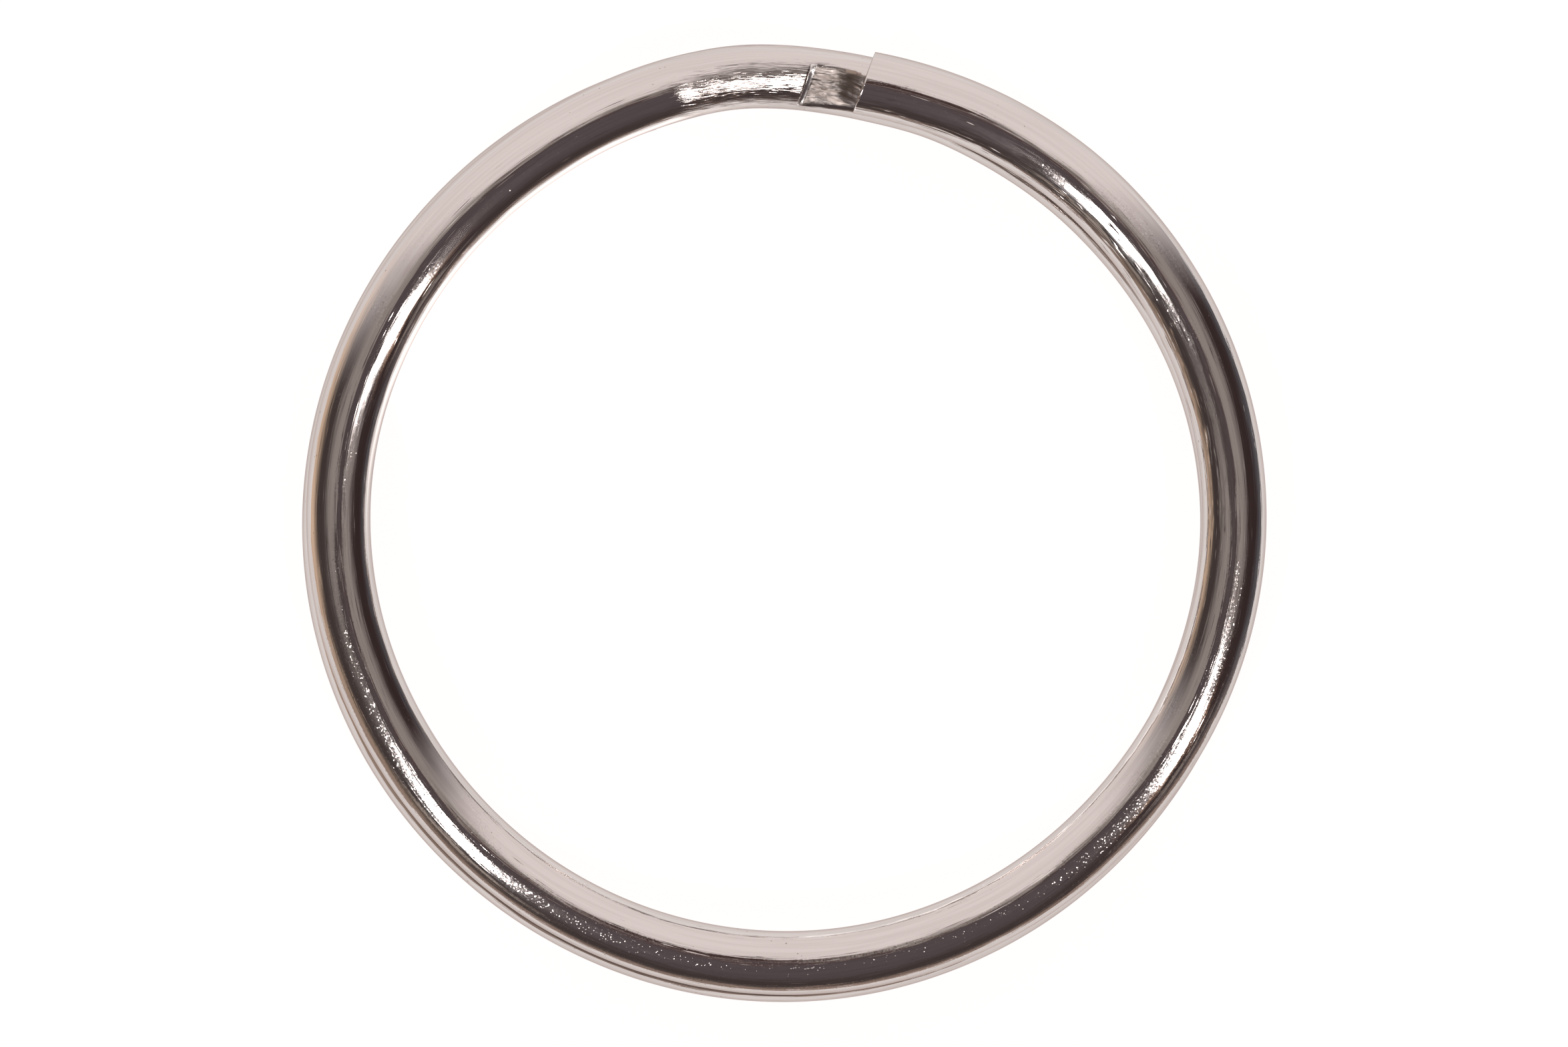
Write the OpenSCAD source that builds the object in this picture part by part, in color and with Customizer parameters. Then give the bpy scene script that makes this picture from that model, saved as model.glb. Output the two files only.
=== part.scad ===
// Split ring: one flattened wire wound into two turns that lie crest to crest.
// The wire starts at a cut end on top, runs clockwise once round, steps down
// through a joggle, passes under its own start and runs clockwise again to a
// second cut end that hides below the joggle.
// Frame: +Z is the axis of the coil, z = 0 is the plane that the lower turn
// rests on, and the joggle and the visible cut end face +Y.

/* [Ring] */
// Outside diameter over the turns
ring_d = 30; // [24:1:40]
// Share of the natural out-of-roundness of the sprung wire, 0 for true circles
spring_share = 1; // [0:0.1:1]

/* [Wire] */
// Width of the wire, measured along the radius
wire_w = 2; // [1.6:0.05:2.4]
// Height of the wire, measured along the axis of the coil
wire_t = 1.5; // [1.2:0.05:1.8]
// Clear height between the crests of the two turns
turn_gap = 0.03; // [0.02:0.01:0.1]

/* [Ends] */
// Angle of the upper cut end, counter-clockwise from +X
top_end = 79.8; // [76:0.1:80]
// Skew of the upper cut face against the radius
top_skew = 10; // [0:1:15]
// Angle of the lower cut end, hidden below the joggle
low_end = 108; // [107:1:115]

/* [Joggle] */
// Angle at which the wire leaves the upper turn
joggle_from = 104.5; // [102:0.5:106]
// Angle at which it has reached the lower turn
joggle_to = 79.5; // [79:0.5:84]
// Share of the joggle taken by each of its two bends, the rest is straight
joggle_bend = 0.12; // [0.08:0.02:0.3]
// Roll of the wire in the joggle, crest towards the bore
joggle_roll = 8; // [0:1:10]

/* [Tool mark] */
// Depth of the flat that the cutting tool leaves on the stepped-down wire
mark_depth = 0.2; // [0:0.02:0.24]
// Share of that depth lost by the time the flat reaches the upper cut end
mark_fade = 0.5; // [0:0.1:0.8]
// Angle at which the flat begins
mark_from = 88; // [86:0.5:90]
// Fall of the flat towards the bore, as a slope
mark_tilt = 0.08; // [0:0.02:0.12]

/* [Resolution] */
// Points round the wire section
section_n = 20; // [12:4:24]
// Angle between stations along the plain turns
turn_step = 3.5; // [3:0.5:6]
// Angle between stations in the joggle and the tool mark
joggle_step = 1; // [0.75:0.25:2]

/* [Hidden] */

a = wire_w / 2;
b = wire_t / 2;
pitch = wire_t + turn_gap;
mean_r = ring_d / 2 - a;

// Position along the wire, in degrees of winding from the upper cut end.
// The wire winds clockwise, so the angle in plan is top_end - s.
s_joggle_from = top_end - joggle_from + 360;
s_joggle_to = top_end - joggle_to + 360;
s_mark_from = top_end - mark_from + 360;
s_mark_to = 364;
s_end = top_end - low_end + 720;

// Route of the wire's centre line: [angle in plan, departure from the mean
// radius in mm]. The angle falls through both turns. The turns of a sprung
// ring are never quite round and never lie exactly over each other: here the
// upper turn stands out towards +X +Y and the lower one towards -X -Y.
ROUTE = [
    // upper turn
    [80, 0.02], [60, 0.09], [50, 0.12], [40, 0.11], [20, 0.07], [0, 0.00],
    [-20, -0.12], [-40, -0.25], [-60, -0.28], [-80, -0.29], [-100, -0.31],
    [-120, -0.31], [-150, -0.28], [-170, -0.19], [-190, -0.13], [-210, -0.15],
    [-230, -0.16], [-240, -0.13], [-250, -0.06],
    // joggle
    [-258, 0.00], [-264, 0.00], [-270, -0.09], [-276, -0.20], [-282, -0.26],
    // lower turn
    [-290, -0.24], [-300, -0.27], [-310, -0.25], [-320, -0.22], [-340, -0.09],
    [-360, -0.03], [-380, -0.07], [-400, -0.04], [-420, 0.05], [-440, 0.13],
    [-460, 0.16], [-480, 0.15], [-510, 0.13], [-530, 0.10], [-550, 0.03],
    [-570, -0.06], [-590, -0.12], [-612, -0.14]
];

// Shift that puts the origin under the middle of the footprint
shift_x = 0.05;
shift_y = 0.1;

function clamp01(u) = max(0, min(1, u));
function smooth(u) = let (c = clamp01(u)) c * c * (3 - 2 * c);

// Straight ramp from 0 to 1 with a round bend at each end
function ramp(u, w) = let (c = clamp01(u), k = 1 / (1 - w))
    c < w ? k * c * c / (2 * w)
    : c > 1 - w ? 1 - k * (1 - c) * (1 - c) / (2 * w)
    : k * (c - w / 2);

// Cubic through a table of [angle, value] with falling angles
function slope(T, i) =
    i <= 0 || i >= len(T) - 1 ? 0
    : (T[i + 1][1] - T[i - 1][1]) / (T[i + 1][0] - T[i - 1][0]);
function segment(T, x, i = 0) =
    i >= len(T) - 2 || x >= T[i + 1][0] ? i : segment(T, x, i + 1);
function along(T, x) =
    x >= T[0][0] ? T[0][1]
    : x <= T[len(T) - 1][0] ? T[len(T) - 1][1]
    : let (
        i = segment(T, x),
        h = T[i + 1][0] - T[i][0],
        u = (x - T[i][0]) / h,
        m0 = slope(T, i) * h,
        m1 = slope(T, i + 1) * h
    )
    (2 * u * u * u - 3 * u * u + 1) * T[i][1]
    + (u * u * u - 2 * u * u + u) * m0
    + (3 * u * u - 2 * u * u * u) * T[i + 1][1]
    + (u * u * u - u * u) * m1;

function angle_at(s) = top_end - s;
function radius_at(s) =
    mean_r + spring_share * along(ROUTE, angle_at(s));
function drop_at(s) =
    ramp((s - s_joggle_from) / (s_joggle_to - s_joggle_from), joggle_bend);
function height_at(s) = b + pitch * (1 - drop_at(s));

function centre_at(s) = let (t = angle_at(s), r = radius_at(s))
    [r * cos(t), r * sin(t), height_at(s)];
function unit(v) = v / norm(v);
function heading_at(s) = unit(centre_at(s + 0.05) - centre_at(s - 0.05));
// Roll of the section, which comes in at the start of the joggle and dies out
// before the upper cut end
function roll_at(s) = joggle_roll * smooth((s - s_joggle_from) / 4)
    * smooth((s_joggle_to - s) / 9);
function level_at(s) = let (t = angle_at(s), h = heading_at(s),
    r = [cos(t), sin(t), 0]) unit(r - (r * h) * h);
function out_at(s) = let (h = heading_at(s), o = level_at(s), w = roll_at(s))
    cos(w) * o + sin(w) * cross(h, o);
function up_at(s) = cross(heading_at(s), out_at(s));

// Oval wire section, x outwards and y up, with the tool mark cut off its crest.
// The mark starts on the same skew as the cut face above it.
skew_turn = tan(top_skew) * 180 / (PI * mean_r);
function depth_at(s) =
    mark_depth * (1 - mark_fade * clamp01((s - s_mark_from) / (360 - s_mark_from)));
function mark_at(s, x) =
    clamp01((s - s_mark_from - skew_turn * x) / 0.8) * clamp01((s_mark_to - s) / 2);
function section_at(s) = [
    for (k = [0 : section_n - 1]) let (
        q = 360 * k / section_n,
        x = a * cos(q),
        y = b * sin(q),
        top = b - depth_at(s) + mark_tilt * x
    ) [x, y > top ? y + mark_at(s, x) * (top - y) : y]
];

// Ring of points of one station; the first station follows the skewed cut
function station(s, skew) = let (
    c = centre_at(s), o = out_at(s), u = up_at(s), h = heading_at(s)
) [for (p = section_at(s)) c + p[0] * o + p[1] * u + p[0] * tan(skew) * h];

// Stations: coarse along the turns, fine through the joggle and the mark
fine_from = s_joggle_from - 2;
fine_to = s_mark_to + 1;
n1 = ceil((fine_from - 0) / turn_step);
n2 = ceil((fine_to - fine_from) / joggle_step);
n3 = ceil((s_end - fine_to) / turn_step);
S = concat(
    [for (i = [0 : n1 - 1]) fine_from * i / n1],
    [for (i = [0 : n2 - 1]) fine_from + (fine_to - fine_from) * i / n2],
    [for (i = [0 : n3]) fine_to + (s_end - fine_to) * i / n3]
);

module swept_wire() {
    n = section_n;
    m = len(S);
    points = [for (i = [0 : m - 1]) each station(S[i], i == 0 ? top_skew : 0)];
    side = [
        for (i = [0 : m - 2]) for (k = [0 : n - 1]) let (
            p = i * n + k, q = i * n + (k + 1) % n
        ) each [[p, q, q + n], [p, q + n, p + n]]
    ];
    start = [for (k = [n - 1 : -1 : 0]) k];
    finish = [for (k = [0 : n - 1]) (m - 1) * n + k];
    polyhedron(points = points, faces = concat([start], side, [finish]), convexity = 10);
}

module split_ring() {
    color([0.76, 0.73, 0.72]) translate([shift_x, shift_y, 0]) swept_wire();
}

split_ring();
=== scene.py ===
import math
import bpy
import numpy as np
from mathutils import Matrix, Vector


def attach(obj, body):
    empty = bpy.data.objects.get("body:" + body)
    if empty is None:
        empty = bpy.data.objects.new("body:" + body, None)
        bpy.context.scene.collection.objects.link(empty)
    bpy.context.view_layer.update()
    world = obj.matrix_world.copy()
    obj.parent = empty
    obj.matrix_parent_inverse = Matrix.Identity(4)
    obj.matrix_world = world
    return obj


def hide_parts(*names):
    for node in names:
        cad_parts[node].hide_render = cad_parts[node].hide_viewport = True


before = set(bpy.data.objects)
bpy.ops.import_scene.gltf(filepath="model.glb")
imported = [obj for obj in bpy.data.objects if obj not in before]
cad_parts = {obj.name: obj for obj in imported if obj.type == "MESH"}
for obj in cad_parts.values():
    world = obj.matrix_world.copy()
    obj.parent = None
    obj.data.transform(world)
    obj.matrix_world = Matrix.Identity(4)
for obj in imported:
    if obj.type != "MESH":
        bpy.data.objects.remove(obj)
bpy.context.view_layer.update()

MM = 0.001

# ---------------------------------------------------------------- the wire
# The same rule as the CAD model: an oval wire swept along two turns, with a
# joggle between them and a tool mark on the stepped-down stretch.
WIRE_W, WIRE_T, GAP = 2.0, 1.5, 0.03
A, B = WIRE_W / 2, WIRE_T / 2
PITCH = WIRE_T + GAP
MEAN_R = 15.0 - A
TOP_END, TOP_SKEW, LOW_END = 79.8, 10.0, 108.0
JOG_FROM, JOG_TO, JOG_BEND, JOG_ROLL = 104.5, 79.5, 0.12, 8.0
MARK_DEPTH, MARK_FADE, MARK_FROM, MARK_TILT = 0.20, 0.5, 88.0, 0.08
S_JF = TOP_END - JOG_FROM + 360
S_JT = TOP_END - JOG_TO + 360
S_MF = TOP_END - MARK_FROM + 360
S_MT = 364.0
S_END = TOP_END - LOW_END + 720
MARK_AT = S_MF * math.radians(MEAN_R)          # mm along the wire where the tool mark starts
JOG_AT = S_JF * math.radians(MEAN_R)           # mm along the wire where the joggle starts
SHIFT = np.array([0.05, 0.10, 0.0])
ROUTE = np.array([
    (80, 0.02), (60, 0.09), (50, 0.12), (40, 0.11), (20, 0.07), (0, 0.00),
    (-20, -0.12), (-40, -0.25), (-60, -0.28), (-80, -0.29), (-100, -0.31),
    (-120, -0.31), (-150, -0.28), (-170, -0.19), (-190, -0.13), (-210, -0.15),
    (-230, -0.16), (-240, -0.13), (-250, -0.06),
    (-258, 0.00), (-264, 0.00), (-270, -0.09), (-276, -0.20), (-282, -0.26),
    (-290, -0.24), (-300, -0.27), (-310, -0.25), (-320, -0.22), (-340, -0.09),
    (-360, -0.03), (-380, -0.07), (-400, -0.04), (-420, 0.05), (-440, 0.13),
    (-460, 0.16), (-480, 0.15), (-510, 0.13), (-530, 0.10), (-550, 0.03),
    (-570, -0.06), (-590, -0.12), (-612, -0.14)], float)


def along(x):
    x = np.asarray(x, float)
    X, Y = ROUTE[:, 0], ROUTE[:, 1]
    n = len(X)
    sl = np.zeros(n)
    sl[1:-1] = (Y[2:] - Y[:-2]) / (X[2:] - X[:-2])
    i = np.clip(np.searchsorted(-X, -x, side="right") - 1, 0, n - 2)
    h = X[i + 1] - X[i]
    u = np.clip((x - X[i]) / h, 0, 1)
    return ((2 * u**3 - 3 * u**2 + 1) * Y[i] + (u**3 - 2 * u**2 + u) * sl[i] * h
            + (3 * u**2 - 2 * u**3) * Y[i + 1] + (u**3 - u**2) * sl[i + 1] * h)


def smooth(u):
    u = np.clip(u, 0, 1)
    return u * u * (3 - 2 * u)


def ramp(u, w=JOG_BEND):
    u, k = np.clip(u, 0, 1), 1 / (1 - w)
    mid = k * (u - w / 2)
    return np.where(u < w, k * u * u / (2 * w), np.where(u > 1 - w, 1 - k * (1 - u)**2 / (2 * w), mid))


def centre(s):
    t = TOP_END - s
    r = MEAN_R + along(t)
    z = B + PITCH * (1 - ramp((s - S_JF) / (S_JT - S_JF)))
    tr = np.radians(t)
    return np.stack([r * np.cos(tr), r * np.sin(tr), z], -1) + SHIFT


def unit(v):
    return v / np.linalg.norm(v, axis=-1, keepdims=True)


def frames(s):
    c = centre(s)
    h = unit(centre(s + 0.05) - centre(s - 0.05))
    t = np.radians(TOP_END - s)
    r = np.stack([np.cos(t), np.sin(t), 0 * t], -1)
    o = unit(r - (r * h).sum(-1, keepdims=True) * h)
    w = np.radians(JOG_ROLL * smooth((s - S_JF) / 4) * smooth((S_JT - s) / 9))[..., None]
    o = np.cos(w) * o + np.sin(w) * np.cross(h, o)
    return c, h, o, np.cross(h, o)


def stations():
    turn, fine = ((0.5, 0.14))
    parts = []
    edge = np.array([0.0, 0.05, 0.12, 0.22, 0.35, 0.55, 0.8, 1.1])
    parts.append(edge)
    f0, f1 = S_JF - 4, S_MT + 1
    parts.append(np.arange(1.1 + turn, f0, turn))
    parts.append(np.arange(f0, f1, fine))
    parts.append(np.arange(f1, S_END - 1.1, turn))
    parts.append(S_END - edge[::-1])
    return np.concatenate(parts)


def hash01(*v):
    x = np.sin(sum(a * b for a, b in zip(v, (12.9898, 78.233, 37.719)))) * 43758.5453
    return x - np.floor(x)


def noise2(x, y, seed=0.0):
    """Smooth value noise, -1 to 1, the same every run."""
    xi, yi = np.floor(x), np.floor(y)
    u, v = x - xi, y - yi
    u, v = u * u * (3 - 2 * u), v * v * (3 - 2 * v)
    n = [hash01(xi + i, yi + j, seed) for i in (0, 1) for j in (0, 1)]
    return 2 * ((n[0] * (1 - v) + n[1] * v) * (1 - u) + (n[2] * (1 - v) + n[3] * v) * u) - 1


def build_wire():
    s = stations()
    n = 48
    q = 2 * math.pi * np.arange(n) / n
    c, h, o, u = frames(s)
    x = A * np.cos(q)[None, :] * np.ones((len(s), 1))
    y = B * np.sin(q)[None, :] * np.ones((len(s), 1))
    S = s[:, None] * np.ones((1, n))
    arc = S * math.radians(MEAN_R)             # mm along the wire
    # tool mark: a flat, torn by the tool, on the same skew as the cut face
    k = math.tan(math.radians(TOP_SKEW)) / math.radians(MEAN_R)
    m = np.clip((S - S_MF - k * x) / 0.8, 0, 1) * np.clip((S_MT - S) / 2, 0, 1)
    deep = MARK_DEPTH * (1 - MARK_FADE * np.clip((S - S_MF) / (360 - S_MF), 0, 1))
    top = B - deep + MARK_TILT * x
    tear = (0.016 * noise2((arc + 0.55 * x) * 1.1, (x * 9.0 - arc * 2.2), 3.0)
            + 0.010 * noise2((arc + 0.4 * x) * 3.0, (x * 21 - arc * 4.0), 7.0))
    cut = y > top
    y = np.where(cut, y + m * (top + tear * np.clip((y - top) / 0.03, 0, 1) - y), y)
    # the cut ends keep a narrow broken edge
    for at, sign in ((0.0, 1.0), (S_END, -1.0)):
        d = np.abs(S - at) * math.radians(MEAN_R)
        r = 0.03
        f = np.where(d < r, np.sqrt(np.clip(1 - (1 - d / r) ** 2, 0, 1)), 1.0)
        x = x * (1 - (1 - f) * r / A)
        y = y * (1 - (1 - f) * r / B)
    skew = math.tan(math.radians(TOP_SKEW)) * np.clip(1 - S / 1.1, 0, 1)
    P = (c[:, None] + x[..., None] * o[:, None] + y[..., None] * u[:, None]
         + (x * skew)[..., None] * h[:, None])
    rest = np.stack([x, y, arc], -1)
    m_cnt = len(s)
    verts = P.reshape(-1, 3)
    rests = rest.reshape(-1, 3)
    heads = np.repeat(h, n, axis=0)
    masks = (m * cut).reshape(-1)
    faces = []
    i = np.arange(m_cnt - 1)[:, None] * n
    kk = np.arange(n)[None, :]
    p0 = (i + kk).ravel(); p1 = (i + (kk + 1) % n).ravel()
    quads = np.stack([p0, p0 + n, p1 + n, p1], 1)
    # caps: rings shrinking to a centre point, with a sheared, slightly dished face
    extra_v, extra_r, extra_m, extra_h = [], [], [], []
    base = len(verts)
    cap_quads, cap_tris = [], []
    for at, row, sign in (("a", 0, -1.0), ("b", m_cnt - 1, 1.0)):
        ring_idx = row * n + np.arange(n)
        prev = ring_idx
        cc = P[row].mean(0)
        rr = rest[row].mean(0)
        for j, f in enumerate((0.93, 0.8, 0.62, 0.42, 0.2)):
            pts = cc + (P[row] - cc) * f
            rs = rr + (rest[row] - rr) * f
            dish = 0.012 * (noise2(rs[:, 0] * 6, rs[:, 1] * 3, 5.0) - 0.6) * (1 - f)
            pts = pts + (dish * sign)[:, None] * h[row]
            idx = base + np.arange(n)
            extra_v.append(pts); extra_r.append(rs); extra_m.append(np.full(n, 2.0))
            extra_h.append(np.repeat(o[row][None], n, axis=0))
            base += n
            a0, a1 = prev, np.roll(prev, -1)
            b0, b1 = idx, np.roll(idx, -1)
            qd = np.stack([a0, a1, b1, b0], 1)
            if sign > 0:
                qd = qd[:, ::-1]
            cap_quads.append(qd)
            prev = idx
        extra_v.append(cc[None]); extra_r.append(rr[None]); extra_m.append(np.full(1, 2.0))
        extra_h.append(o[row][None])
        tip = base; base += 1
        t = np.stack([prev, np.roll(prev, -1), np.full(n, tip)], 1)
        if sign > 0:
            t = t[:, ::-1]
        cap_tris.append(t)
    verts = np.concatenate([verts] + extra_v)
    rests = np.concatenate([rests] + extra_r)
    masks = np.concatenate([masks] + extra_m)
    heads = np.concatenate([heads] + extra_h)
    quads = np.concatenate([quads] + cap_quads)
    tris = np.concatenate(cap_tris)
    me = bpy.data.meshes.new("wire")
    me.from_pydata((verts * MM).tolist(), [], quads.tolist() + tris.tolist())
    me.update()
    me.polygons.foreach_set("use_smooth", np.ones(len(me.polygons), bool))
    at = me.attributes.new("rest", "FLOAT_VECTOR", "POINT")
    at.data.foreach_set("vector", rests.astype(np.float32).ravel())
    at = me.attributes.new("along", "FLOAT_VECTOR", "POINT")
    at.data.foreach_set("vector", heads.astype(np.float32).ravel())
    at = me.attributes.new("cut", "FLOAT", "POINT")
    at.data.foreach_set("value", masks.astype(np.float32))
    me.validate()
    ob = bpy.data.objects.new("split_ring_wire", me)
    bpy.context.scene.collection.objects.link(ob)
    return ob


# ---------------------------------------------------------------- materials
class Graph:
    """Short calls for building a node tree."""

    def __init__(self, nt):
        self.nt = nt

    def new(self, kind, **kw):
        nd = self.nt.nodes.new(kind)
        for k, v in kw.items():
            setattr(nd, k, v)
        return nd

    def put(self, socket, value):
        if hasattr(value, "links"):
            self.nt.links.new(value, socket)
        elif hasattr(socket.default_value, "__len__") and not hasattr(value, "__len__"):
            socket.default_value = (value,) * len(socket.default_value)
        else:
            socket.default_value = value

    def math(self, op, a, b=0.0, clamp=False):
        nd = self.new("ShaderNodeMath", operation=op, use_clamp=clamp)
        self.put(nd.inputs[0], a)
        self.put(nd.inputs[1], b)
        return nd.outputs[0]

    def vec(self, op, a, b=(0, 0, 0), scale=None):
        nd = self.new("ShaderNodeVectorMath", operation=op)
        self.put(nd.inputs[0], a)
        if scale is not None:
            self.put(nd.inputs["Scale"], scale)
        else:
            self.put(nd.inputs[1], b)
        return nd.outputs["Value"] if op in ("DOT_PRODUCT", "LENGTH", "DISTANCE") else nd.outputs[0]

    def xyz(self, x, y, z):
        nd = self.new("ShaderNodeCombineXYZ")
        for s, v in zip(nd.inputs, (x, y, z)):
            self.put(s, v)
        return nd.outputs[0]

    def split(self, v):
        nd = self.new("ShaderNodeSeparateXYZ")
        self.put(nd.inputs[0], v)
        return nd.outputs

    def step(self, v, lo, hi):
        """Smooth 0 to 1 as v goes from lo to hi; lo may be the larger one."""
        nd = self.new("ShaderNodeMapRange", interpolation_type="SMOOTHSTEP", clamp=True)
        self.put(nd.inputs["Value"], v)
        if lo < hi:
            a, b, c, d = lo, hi, 0.0, 1.0
        else:
            a, b, c, d = hi, lo, 1.0, 0.0
        for name, val in zip(("From Min", "From Max", "To Min", "To Max"), (a, b, c, d)):
            nd.inputs[name].default_value = val
        return nd.outputs[0]

    def mix(self, f, a, b):
        nd = self.new("ShaderNodeMix", data_type="RGBA", blend_type="MIX", clamp_factor=True)
        self.put(nd.inputs["Factor"], f)
        self.put([s for s in nd.inputs if s.name == "A" and s.type == "RGBA"][0], a)
        self.put([s for s in nd.inputs if s.name == "B" and s.type == "RGBA"][0], b)
        return [s for s in nd.outputs if s.type == "RGBA"][0]

    def noise(self, v, scale=1.0, detail=2.0, rough=0.5):
        nd = self.new("ShaderNodeTexNoise", noise_dimensions="3D")
        self.put(nd.inputs["Vector"], v)
        nd.inputs["Scale"].default_value = scale
        nd.inputs["Detail"].default_value = detail
        nd.inputs["Roughness"].default_value = rough
        return nd.outputs["Fac"] if "Fac" in nd.outputs else nd.outputs[0]


def plate_material():
    mat = bpy.data.materials.new("nickel_plate")
    mat.use_nodes = True
    nt = mat.node_tree
    g = Graph(nt)
    bsdf = nt.nodes["Principled BSDF"]
    rest = g.new("ShaderNodeAttribute", attribute_name="rest").outputs["Vector"]
    head = g.new("ShaderNodeAttribute", attribute_name="along").outputs["Vector"]
    cut = g.new("ShaderNodeAttribute", attribute_name="cut").outputs["Fac"]
    tr = g.new("ShaderNodeVectorTransform", vector_type="VECTOR", convert_from="OBJECT", convert_to="WORLD")
    g.put(tr.inputs[0], head)
    head = tr.outputs[0]
    normal = g.new("ShaderNodeNewGeometry").outputs["Normal"]
    across = g.vec("CROSS_PRODUCT", normal, head)
    x, y, s = g.split(rest)

    face = g.step(cut, 1.2, 1.8)                       # the sheared end faces
    mark = g.math("MULTIPLY", g.step(cut, 0.3, 0.9), g.math("SUBTRACT", 1.0, face))

    def centred(v, k):
        return g.math("MULTIPLY", g.math("SUBTRACT", v, 0.5), k)

    def stretched(kx, ks, seed=0.0, detail=2.0, rough=0.6):
        """Noise drawn out along the wire: kx features per mm across, ks along."""
        return g.noise(g.xyz(g.math("MULTIPLY", x, kx), g.math("ADD", g.math("MULTIPLY", y, kx), seed),
                             g.math("MULTIPLY", s, ks)), 1.0, detail, rough)

    def spiky(v, k):
        """Mostly flat, with rare steep slopes either way."""
        c = g.math("MULTIPLY", g.math("SUBTRACT", v, 0.5), 2.0)
        return g.math("MULTIPLY", g.math("MULTIPLY", c, g.math("MULTIPLY", c, c)), k)

    # lines drawn into the wire, running along it, and the slow waviness of the plate
    lines = stretched(11.0, 0.25, 0.0, 1.0, 0.5)
    hair = stretched(26.0, 0.6)
    scored = g.math("MULTIPLY", g.step(x, -0.05, -0.4), g.step(s, 24.0, 17.0))
    bent = g.math("MULTIPLY", g.step(s, JOG_AT - 0.6, JOG_AT + 0.4), g.step(s, JOG_AT + 5.4, JOG_AT + 4.6))
    tilt_across = g.math("ADD", spiky(hair, 1.2), centred(hair, 0.14))
    tilt_across = g.math("ADD", tilt_across, centred(lines, 0.025))
    # the plate is drawn into fine ridges where the joggle was pressed
    ridges = centred(stretched(120.0, 2.0, 12.0, 1.0, 0.5), 1.0)
    tilt_across = g.math("ADD", tilt_across, g.math("MULTIPLY", bent, ridges))
    tilt_across = g.math("ADD", tilt_across, g.math("MULTIPLY", spiky(stretched(12.0, 0.8, 7.0), 4.0), scored))
    tilt_across = g.math("ADD", tilt_across, centred(stretched(1.2, 0.55, 2.0, 1.0, 0.5), 0.015))
    tilt_along = centred(stretched(2.0, 0.8, 9.0, 1.0, 0.5), 0.02)
    # and a little roughened where the first bend was pressed
    nip = g.math("MULTIPLY", g.step(s, JOG_AT - 0.2, JOG_AT + 0.3), g.step(s, JOG_AT + 2.0, JOG_AT + 1.0))
    tilt_along = g.math("ADD", tilt_along, g.math("MULTIPLY", centred(stretched(110.0, 60.0, 21.0, 0.0, 0.5), 0.35), nip))
    # grain: pitting under the plate, heaviest outside on the far half of the upper turn
    here = g.math("MULTIPLY", g.step(s, 17.0, 27.0), g.step(s, 66.0, 56.0))
    here = g.math("MULTIPLY", here, g.step(x, -0.35, 0.15))
    loose = g.step(stretched(1.3, 0.5, 4.0, 2.0, 0.5), 0.42, 0.64)
    patch = g.math("ADD", g.math("MULTIPLY", here, 0.75), g.math("MULTIPLY", loose, 0.35), clamp=True)
    tilt_across = g.math("ADD", tilt_across, g.math("MULTIPLY", spiky(stretched(20.0, 15.0, 1.0, 2.0, 0.6), 1.0), patch))
    tilt_along = g.math("ADD", tilt_along, g.math("MULTIPLY", spiky(stretched(21.0, 16.0, 6.0, 2.0, 0.6), 1.3), patch))
    grain = stretched(13.0, 8.0, 3.0, 2.0, 0.6)
    # torn lines across the tool mark
    diag = g.math("ADD", g.math("MULTIPLY", x, 9.0), g.math("MULTIPLY", s, 1.8))
    torn = g.noise(g.xyz(diag, g.math("MULTIPLY", s, 0.8), 3.0), 1.0, 3.0, 0.6)
    torn2 = g.noise(g.xyz(diag, g.math("MULTIPLY", s, 1.3), 8.0), 1.0, 2.0, 0.6)
    tilt_across = g.math("ADD", tilt_across, g.math("MULTIPLY", centred(torn, 0.6), mark))
    tilt_along = g.math("ADD", tilt_along, g.math("MULTIPLY", centred(torn2, 0.45), mark))
    # the lip where the tool first bit is burnished and lies flatter than the step behind it, so it catches the lamp;
    # its lighter colour further down is a painted highlight
    bite = g.math("SUBTRACT", s, g.math("MULTIPLY", x, math.tan(math.radians(TOP_SKEW))))
    lip = g.math("MULTIPLY", g.step(bite, MARK_AT - 0.01, MARK_AT + 0.04), g.step(bite, MARK_AT + 0.22, MARK_AT + 0.17))
    lip = g.math("MULTIPLY", lip, g.step(cut, 0.02, 0.1))
    tilt_along = g.math("SUBTRACT", tilt_along, g.math("MULTIPLY", lip, 0.76))
    n2 = g.vec("ADD", normal, g.vec("SCALE", across, scale=tilt_across))
    n2 = g.vec("NORMALIZE", g.vec("ADD", n2, g.vec("SCALE", head, scale=tilt_along)))
    g.put(bsdf.inputs["Normal"], n2)

    # pits
    vor = g.new("ShaderNodeTexVoronoi", feature="F1", voronoi_dimensions="3D")
    g.put(vor.inputs["Vector"], g.xyz(g.math("MULTIPLY", x, 5.0), g.math("MULTIPLY", y, 5.0), g.math("MULTIPLY", s, 3.2)))
    vor.inputs["Scale"].default_value = 1.0
    where = g.noise(g.xyz(g.math("MULTIPLY", x, 1.5), y, g.math("MULTIPLY", s, 0.7)), 1.0, 2.0, 0.5)
    pit = g.math("MULTIPLY", g.step(vor.outputs["Distance"], 0.13, 0.06), g.step(where, 0.56, 0.68))

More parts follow.
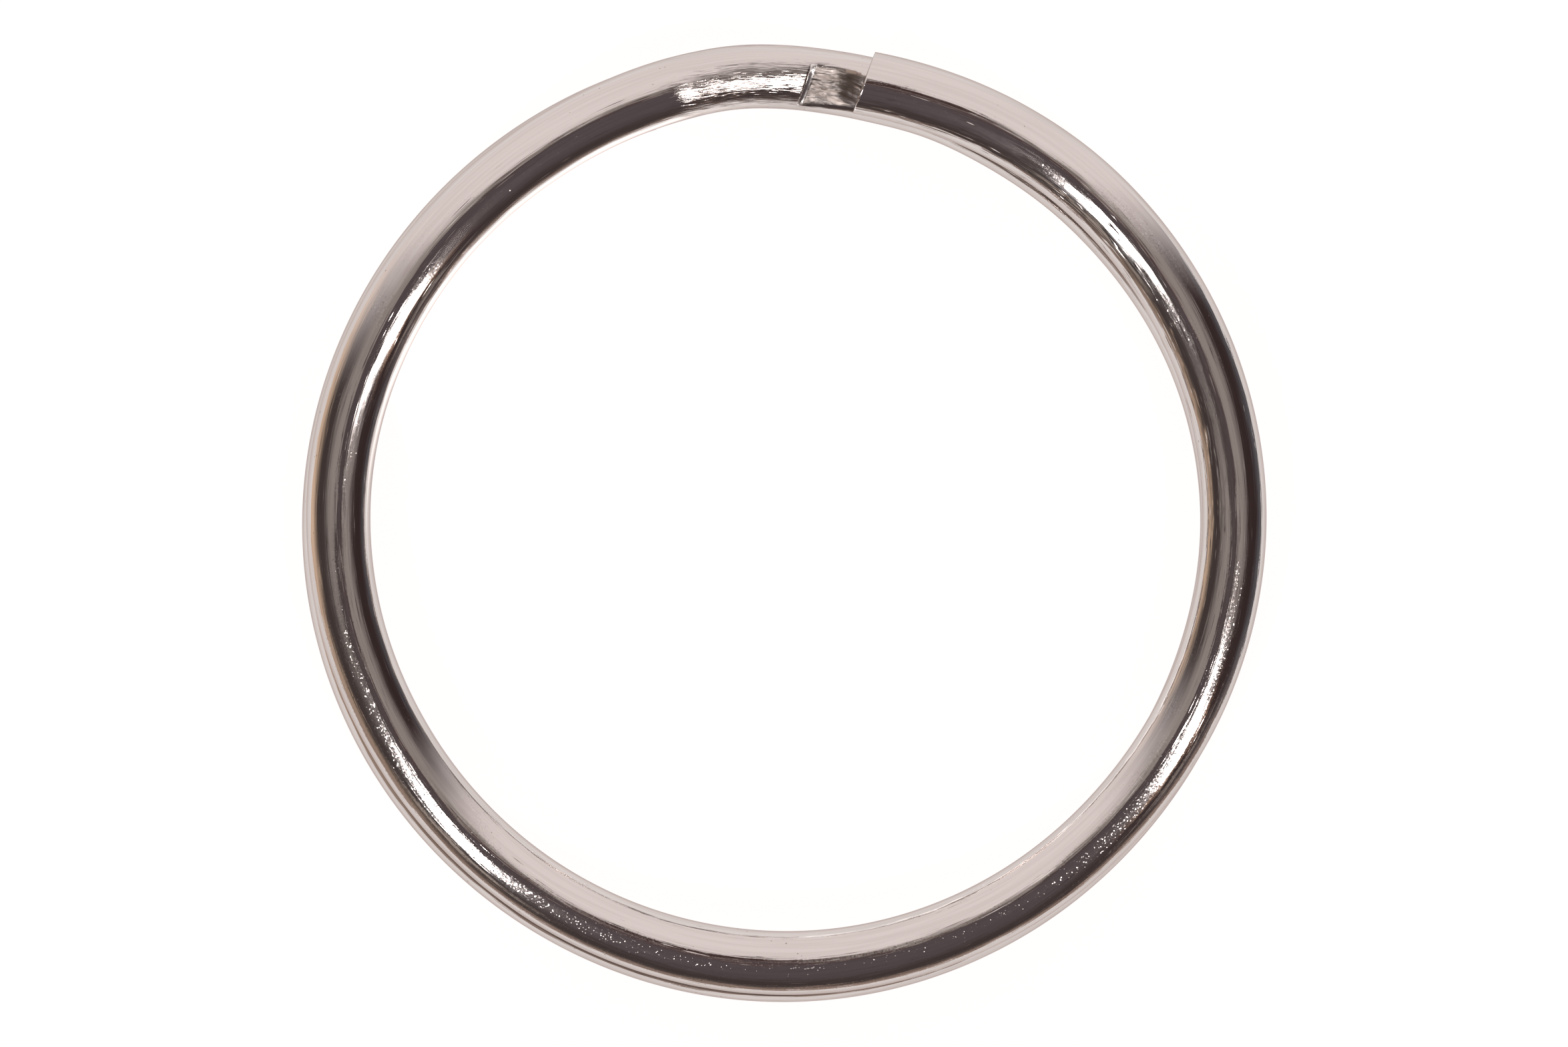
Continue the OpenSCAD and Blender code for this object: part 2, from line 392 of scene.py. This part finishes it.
    base = g.mix(g.step(lines, 0.3, 0.7), (0.665, 0.61, 0.59, 1), (0.615, 0.56, 0.54, 1))
    base = g.mix(g.math("MULTIPLY", pit, 0.75), base, (0.16, 0.12, 0.10, 1))
    base = g.mix(g.math("MULTIPLY", mark, g.math("ADD", 0.80, centred(torn, 1.8), clamp=True)), base, (0.20, 0.17, 0.155, 1))
    # painted highlight: the lip's colour is lightened so it shines brighter than the lamp alone makes it
    base = g.mix(g.math("MULTIPLY", lip, 0.9), base, (0.80, 0.76, 0.74, 1))
    base = g.mix(face, base, (0.52, 0.46, 0.40, 1))
    g.put(bsdf.inputs["Base Color"], base)
    bsdf.inputs["Metallic"].default_value = 1.0
    bsdf.inputs["Specular Tint"].default_value = (0.64, 0.56, 0.54, 1)
    rough = g.math("ADD", 0.09, centred(grain, 0.05))
    rough = g.math("ADD", rough, g.math("ADD", g.math("MULTIPLY", pit, 0.2), g.math("MULTIPLY", face, 0.22)))
    rough = g.math("ADD", rough, g.math("MULTIPLY", mark, 0.22))
    g.put(bsdf.inputs["Roughness"], rough)
    return mat


# ---------------------------------------------------------------- stage
def floor():
    me = bpy.data.meshes.new("floor")
    n, r = 96, 0.030
    vs = [(0, 0, 0)] + [(r * math.cos(2 * math.pi * i / n), r * math.sin(2 * math.pi * i / n), 0) for i in range(n)]
    me.from_pydata(vs, [], [(0, i + 1, (i + 1) % n + 1) for i in range(n)])
    ob = bpy.data.objects.new("floor", me)
    bpy.context.scene.collection.objects.link(ob)
    mat = bpy.data.materials.new("paper")
    mat.use_nodes = True
    b = mat.node_tree.nodes["Principled BSDF"]
    b.inputs["Base Color"].default_value = (0.12, 0.12, 0.12, 1)
    b.inputs["Roughness"].default_value = 1.0
    b.inputs["Specular IOR Level"].default_value = 0.0
    b.inputs["Emission Color"].default_value = (1, 0.985, 0.975, 1)
    fg = Graph(mat.node_tree)
    # painted pool of light: the floor glows brighter in a round patch inside the ring, up and to the left
    spot = fg.vec("DISTANCE", fg.new("ShaderNodeNewGeometry").outputs["Position"], (-0.0055, 0.0055, 0))
    fg.put(b.inputs["Emission Strength"], fg.math("ADD", 0.95, fg.math("MULTIPLY", fg.step(spot, 0.0072, 0.0036), 0.95)))
    me.materials.append(mat)
    return ob


wire = build_wire()
wire.data.materials.append(plate_material())
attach(wire, "root")
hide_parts("split_ring")
floor()

# ---------------------------------------------------------------- light
scene = bpy.context.scene
scene.view_settings.view_transform = "Standard"
world = bpy.data.worlds.new("studio")
scene.world = world
world.use_nodes = True
g = Graph(world.node_tree)
background = world.node_tree.nodes["Background"]
direction = g.new("ShaderNodeTexCoord").outputs["Generated"]
dx, dy, dz = g.split(direction)
DEG = 180 / math.pi
polar = g.math("MULTIPLY", g.math("ARCCOSINE", dz), DEG)


def bearing(az):
    """Horizontal angle from the bearing az, in degrees, -180 to 180."""
    c, s = math.cos(math.radians(az)), math.sin(math.radians(az))
    fwd = g.math("ADD", g.math("MULTIPLY", dx, c), g.math("MULTIPLY", dy, s))
    side = g.math("ADD", g.math("MULTIPLY", dx, -s), g.math("MULTIPLY", dy, c))
    return g.math("MULTIPLY", g.math("ARCTAN2", side, fwd), DEG)


def times(*v):
    out = v[0]
    for k in v[1:]:
        out = g.math("MULTIPLY", out, k)
    return out


def grey(v, r=1.0, gr=0.93, b=0.90):
    return (v * r, v * gr, v * b, 1)


# dim room: darker towards +X, warm and lighter low on the -X side
from_x = g.math("ABSOLUTE", bearing(0))
room = g.mix(g.step(from_x, 20, 75), (0.052, 0.034, 0.034, 1), grey(0.068, 1.10, 0.89, 0.86))
to_left = g.math("ABSOLUTE", bearing(178))
low = times(g.step(to_left, 60, 18), g.step(polar, 58, 96))
room = g.mix(low, room, (0.90, 0.68, 0.50, 1))
low_right = times(g.step(from_x, 60, 20), g.step(polar, 62, 92))
room = g.mix(low_right, room, (0.13, 0.13, 0.145, 1))
front = times(g.step(g.math("ABSOLUTE", bearing(-88)), 48, 22), g.step(polar, 64, 40))
room = g.mix(front, room, (0.118, 0.096, 0.104, 1))
low_front = times(g.step(g.math("ABSOLUTE", bearing(-95)), 80, 50), g.step(polar, 72, 98))
room = g.mix(low_front, room, (0.42, 0.32, 0.27, 1))
# ceiling seen round the camera
ceiling = times(g.step(polar, 47, 19), g.step(g.math("ABSOLUTE", bearing(-90)), 48, 74))
room = g.mix(ceiling, room, (0.38, 0.34, 0.32, 1))
# big card on the +Y side, from beside the camera down to the floor
b88 = bearing(88)
card = times(g.step(b88, -66, -44), g.step(b88, 84, 54), g.step(polar, 5, 17))
room = g.mix(card, room, (1.04, 0.98, 0.965, 1))
# the lens
spot = g.vec("DOT_PRODUCT", direction, (0.01815, 0.10294, 0.99452))
spot = g.math("MULTIPLY", g.math("ARCCOSINE", spot), DEG)
room = g.mix(times(g.step(spot, 13.0, 6.0), g.step(dy, 0.06, -0.06), 0.7), room, (0.095, 0.045, 0.038, 1))
room = g.mix(times(g.step(spot, 5.2, 3.4), 0.97), room, (0.045, 0.014, 0.013, 1))


# two lamps, each with a dimmer trail of its own light below it
def lamp(az, pol, half_az, half_pol, colour, power):
    ba = g.math("DIVIDE", bearing(az), half_az)
    bp = g.math("DIVIDE", g.math("SUBTRACT", polar, pol), half_pol)
    r = g.math("SQRT", g.math("ADD", g.math("MULTIPLY", ba, ba), g.math("MULTIPLY", bp, bp)))
    return g.vec("SCALE", (colour[0] * power, colour[1] * power, colour[2] * power), scale=g.step(r, 1.3, 0.4))


light = room
for lamp_args in ((-39, 30, 5, 14, (1.0, 0.97, 0.95), 24.0),
                  (-130, 31, 5, 13, (1.0, 0.98, 0.97), 24.0),
                  (-39, 45, 10, 6, (1.0, 0.62, 0.40), 0.40),
                  (-39, 66, 11, 5, (1.0, 0.90, 0.82), 0.25),
                  (-131, 46, 9, 5, (0.9, 0.95, 1.0), 0.30),
                  (-131, 63, 12, 6, (1.0, 0.90, 0.80), 0.40)):
    light = g.vec("ADD", light, lamp(*lamp_args))
seen = g.new("ShaderNodeLightPath").outputs["Is Camera Ray"]
g.put(background.inputs["Color"], g.mix(seen, light, (1, 1, 1, 1)))
background.inputs["Strength"].default_value = 1.0

# ---------------------------------------------------------------- camera
cam = bpy.data.cameras.new("camera")
cam.sensor_width = 36
cam.lens = 258
cam.clip_start = 0.001
co = bpy.data.objects.new("camera", cam)
target = Vector((0.00005, 0.00010, 0.0015))
back = Vector((0.01815, 0.10294, 0.99452)).normalized()
right = Vector((0, 1, 0)).cross(back).normalized()
up = back.cross(right)
at = target + back * 0.350
co.matrix_world = Matrix(((right.x, up.x, back.x, at.x), (right.y, up.y, back.y, at.y),
                          (right.z, up.z, back.z, at.z), (0, 0, 0, 1)))
scene.collection.objects.link(co)
scene.camera = co
